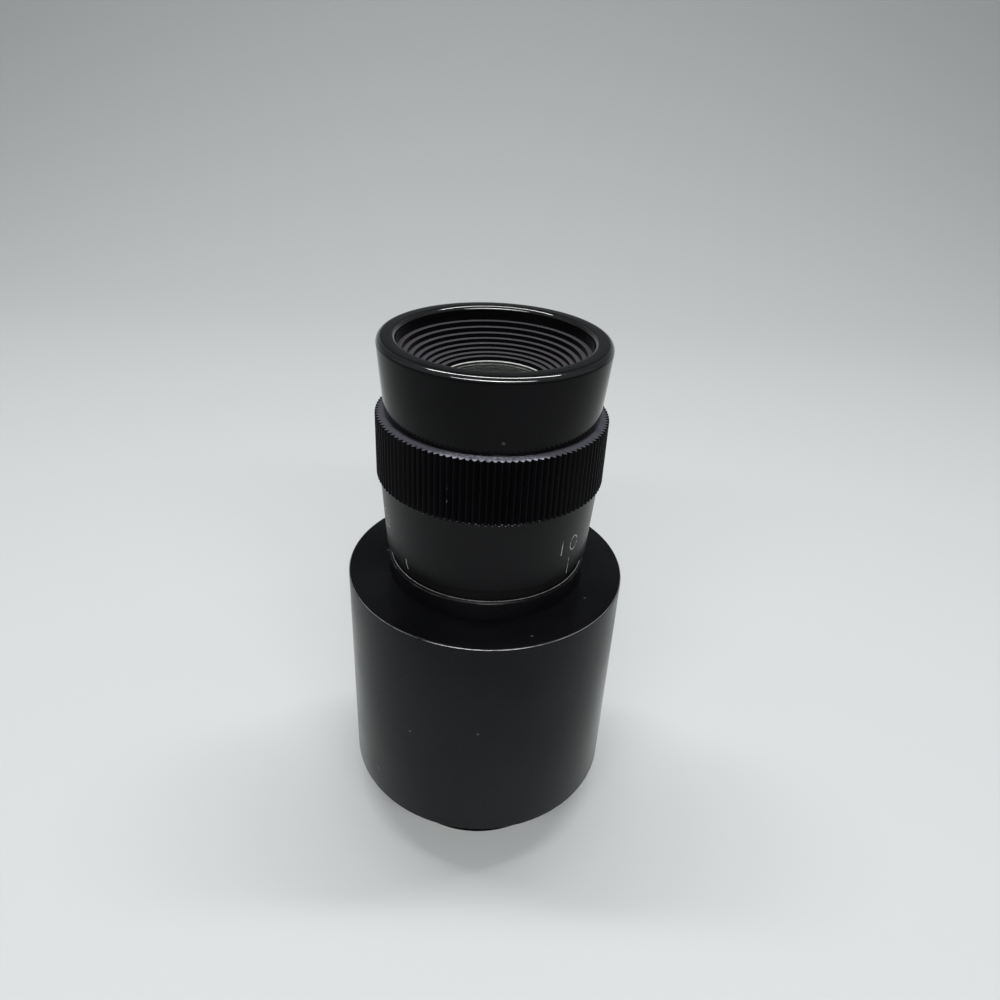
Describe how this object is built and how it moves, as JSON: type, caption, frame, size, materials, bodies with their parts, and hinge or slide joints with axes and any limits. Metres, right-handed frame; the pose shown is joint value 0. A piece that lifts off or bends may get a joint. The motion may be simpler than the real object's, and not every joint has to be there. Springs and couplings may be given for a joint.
{
  "type": "microscope objective",
  "caption": "Black low-power microscope objective with an iris ring, a serrated grip and scale, a stepped light-trap hood and a wide adapter barrel on a spigot.",
  "frame": {"origin": "centre of the spigot's lower face, which the objective stands on", "axes": "+Z along the optical axis, out of the front hood; -Y towards the front of the scale"},
  "size_m": [0.048, 0.048, 0.0926],
  "materials": {
    "barrel_black": "gloss black anodised",
    "collar_black": "black anodised, worn bright at the top edge",
    "tube_black": "satin black anodised",
    "ring_black": "satin black anodised, figures engraved and filled white",
    "hood_black": "black anodised, gloss outside and satin steps",
    "inner_black": "matt black anodised",
    "rotor_brass": "blackened",
    "leaf_steel": "blued",
    "screw_steel": "blackened",
    "front_glass": "polished and coated",
    "inner_glass": "polished and coated",
    "rear_glass": "polished and coated"
  },
  "bodies": {
    "housing": {"adapter_barrel": "barrel_black", "lock_collar": "collar_black", "lens_tube": "tube_black", "iris_base": "inner_black", "iris_retainer": "inner_black", "front_hood": "hood_black", "front_cell": "inner_black", "front_lens": "front_glass", "lens_spacer": "inner_black", "second_lens": "inner_glass", "front_retainer": "inner_black", "rear_cell": "inner_black", "rear_flint": "inner_glass", "rear_crown": "rear_glass", "rear_retainer": "inner_black"},
    "iris_ring": {"control_ring": "ring_black", "drive_screw": "screw_steel", "iris_rotor": "rotor_brass"},
    "leaf_1": {"iris_leaf_1": "leaf_steel"},
    "leaf_2": {"iris_leaf_2": "leaf_steel"},
    "leaf_3": {"iris_leaf_3": "leaf_steel"},
    "leaf_4": {"iris_leaf_4": "leaf_steel"},
    "leaf_5": {"iris_leaf_5": "leaf_steel"},
    "leaf_6": {"iris_leaf_6": "leaf_steel"},
    "leaf_7": {"iris_leaf_7": "leaf_steel"},
    "leaf_8": {"iris_leaf_8": "leaf_steel"}
  },
  "joints": [
    {"name": "iris_ring_turn", "type": "hinge", "parent": "housing", "child": "iris_ring", "pos_m": [0, 0, 0.0754], "axis": [0, 0, 1], "range_deg": [-31.3, 78.6]},
    {"name": "leaf_1_pivot", "type": "hinge", "parent": "housing", "child": "leaf_1", "pos_m": [0.01164, 0.00482, 0.073], "axis": [0, 0, 1], "range_deg": [-4.55, 11.42]},
    {"name": "leaf_2_pivot", "type": "hinge", "parent": "housing", "child": "leaf_2", "pos_m": [0.00482, 0.01164, 0.073], "axis": [0, 0, 1], "range_deg": [-4.55, 11.42]},
    {"name": "leaf_3_pivot", "type": "hinge", "parent": "housing", "child": "leaf_3", "pos_m": [-0.00482, 0.01164, 0.073], "axis": [0, 0, 1], "range_deg": [-4.55, 11.42]},
    {"name": "leaf_4_pivot", "type": "hinge", "parent": "housing", "child": "leaf_4", "pos_m": [-0.01164, 0.00482, 0.073], "axis": [0, 0, 1], "range_deg": [-4.55, 11.42]},
    {"name": "leaf_5_pivot", "type": "hinge", "parent": "housing", "child": "leaf_5", "pos_m": [-0.01164, -0.00482, 0.073], "axis": [0, 0, 1], "range_deg": [-4.55, 11.42]},
    {"name": "leaf_6_pivot", "type": "hinge", "parent": "housing", "child": "leaf_6", "pos_m": [-0.00482, -0.01164, 0.073], "axis": [0, 0, 1], "range_deg": [-4.55, 11.42]},
    {"name": "leaf_7_pivot", "type": "hinge", "parent": "housing", "child": "leaf_7", "pos_m": [0.00482, -0.01164, 0.073], "axis": [0, 0, 1], "range_deg": [-4.55, 11.42]},
    {"name": "leaf_8_pivot", "type": "hinge", "parent": "housing", "child": "leaf_8", "pos_m": [0.01164, -0.00482, 0.073], "axis": [0, 0, 1], "range_deg": [-4.55, 11.42]}
  ],
  "couplings": [
    {"joint": "leaf_1_pivot", "follows": "iris_ring_turn", "ratio": 0.14516},
    {"joint": "leaf_2_pivot", "follows": "iris_ring_turn", "ratio": 0.14516},
    {"joint": "leaf_3_pivot", "follows": "iris_ring_turn", "ratio": 0.14516},
    {"joint": "leaf_4_pivot", "follows": "iris_ring_turn", "ratio": 0.14516},
    {"joint": "leaf_5_pivot", "follows": "iris_ring_turn", "ratio": 0.14516},
    {"joint": "leaf_6_pivot", "follows": "iris_ring_turn", "ratio": 0.14516},
    {"joint": "leaf_7_pivot", "follows": "iris_ring_turn", "ratio": 0.14516},
    {"joint": "leaf_8_pivot", "follows": "iris_ring_turn", "ratio": 0.14516}
  ]
}
